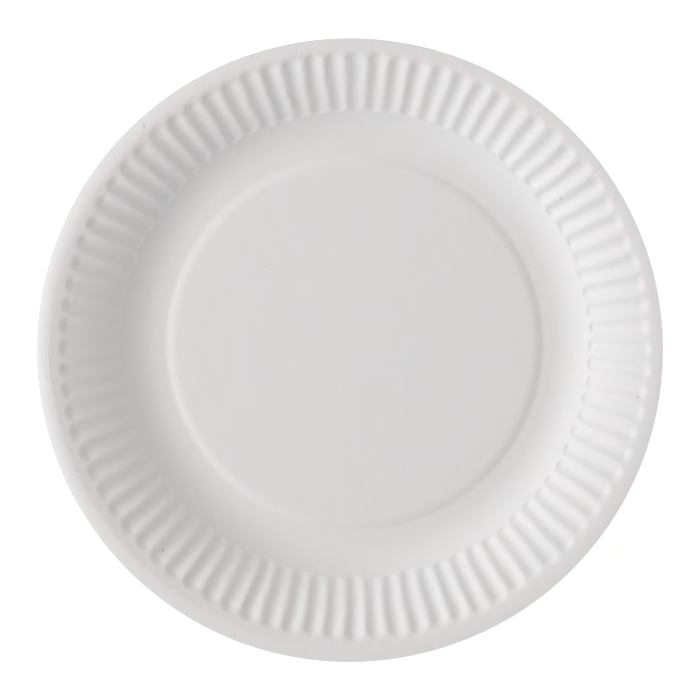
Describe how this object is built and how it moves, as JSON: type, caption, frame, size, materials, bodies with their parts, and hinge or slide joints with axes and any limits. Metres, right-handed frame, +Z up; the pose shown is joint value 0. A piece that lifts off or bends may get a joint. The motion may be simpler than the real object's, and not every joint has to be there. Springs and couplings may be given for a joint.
{
  "type": "paper plate",
  "caption": "Round white paper plate pressed from flat board, with a raised middle panel, a fluted sloping wall and a rolled-over lip.",
  "frame": {"origin": "centre of the trimmed round edge, on the surface the plate stands on", "axes": "+Z up out of the plate's well; +Y is the side towards the top of the picture and +X its right-hand side"},
  "size_m": [0.23, 0.23, 0.0195],
  "materials": {
    "board": "matte uncoated white board"
  },
  "bodies": {
    "root": {"plate": "board"}
  },
  "joints": []
}
